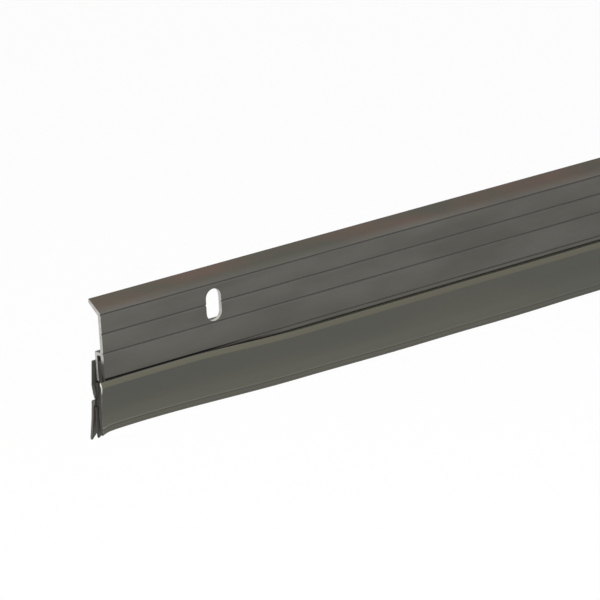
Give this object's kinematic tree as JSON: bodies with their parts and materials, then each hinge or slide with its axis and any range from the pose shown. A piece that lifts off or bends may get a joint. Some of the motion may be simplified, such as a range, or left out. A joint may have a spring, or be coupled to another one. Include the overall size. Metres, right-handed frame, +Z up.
{
  "type": "door sweep",
  "caption": "Surface-mounted door sweep: slotted metal carrier strip with a sloped lip and a rear channel holding a slide-in flexible insert whose sweep fins hang to the threshold.",
  "frame": {"origin": "middle of the lip's rear edge, the flat that lies on the door's face", "axes": "+X along the sweep, +Y towards the door, +Z up"},
  "size_m": [0.9155, 0.0094, 0.0462],
  "materials": {
    "bronze_aluminium": "dark bronze satin finish, bare metal where it is cut",
    "brown_vinyl": "matte flexible vinyl, olive brown"
  },
  "bodies": {
    "carrier": {"carrier": "bronze_aluminium"},
    "insert": {"insert_spine": "brown_vinyl"},
    "rear_fin": {"rear_fin": "brown_vinyl"},
    "middle_fin": {"middle_fin": "brown_vinyl"},
    "front_fin": {"front_fin": "brown_vinyl"},
    "door_flap": {"door_flap": "brown_vinyl"}
  },
  "joints": [
    {"name": "insert_slide", "type": "slide", "parent": "carrier", "child": "insert", "axis": [1, 0, 0], "range_m": [-0.9144, 0.9144]},
    {"name": "rear_fin_bend", "type": "hinge", "parent": "insert", "child": "rear_fin", "pos_m": [0, -0.00059, -0.03425], "axis": [1, 0, 0], "range_deg": [-15, 30], "stiffness_Nm_per_rad": 0.03},
    {"name": "middle_fin_bend", "type": "hinge", "parent": "insert", "child": "middle_fin", "pos_m": [0, -0.00299, -0.0374], "axis": [1, 0, 0], "range_deg": [-15, 30], "stiffness_Nm_per_rad": 0.03},
    {"name": "front_fin_bend", "type": "hinge", "parent": "insert", "child": "front_fin", "pos_m": [0, -0.00539, -0.0374], "axis": [1, 0, 0], "range_deg": [-15, 30], "stiffness_Nm_per_rad": 0.03},
    {"name": "door_flap_bend", "type": "hinge", "parent": "insert", "child": "door_flap", "pos_m": [0, -0.0019, -0.03082], "axis": [1, 0, 0], "range_deg": [-18, 1], "stiffness_Nm_per_rad": 0.03}
  ],
  "couplings": [
    {"joint": "front_fin_bend", "follows": "rear_fin_bend", "ratio": 1},
    {"joint": "middle_fin_bend", "follows": "rear_fin_bend", "ratio": 1}
  ]
}
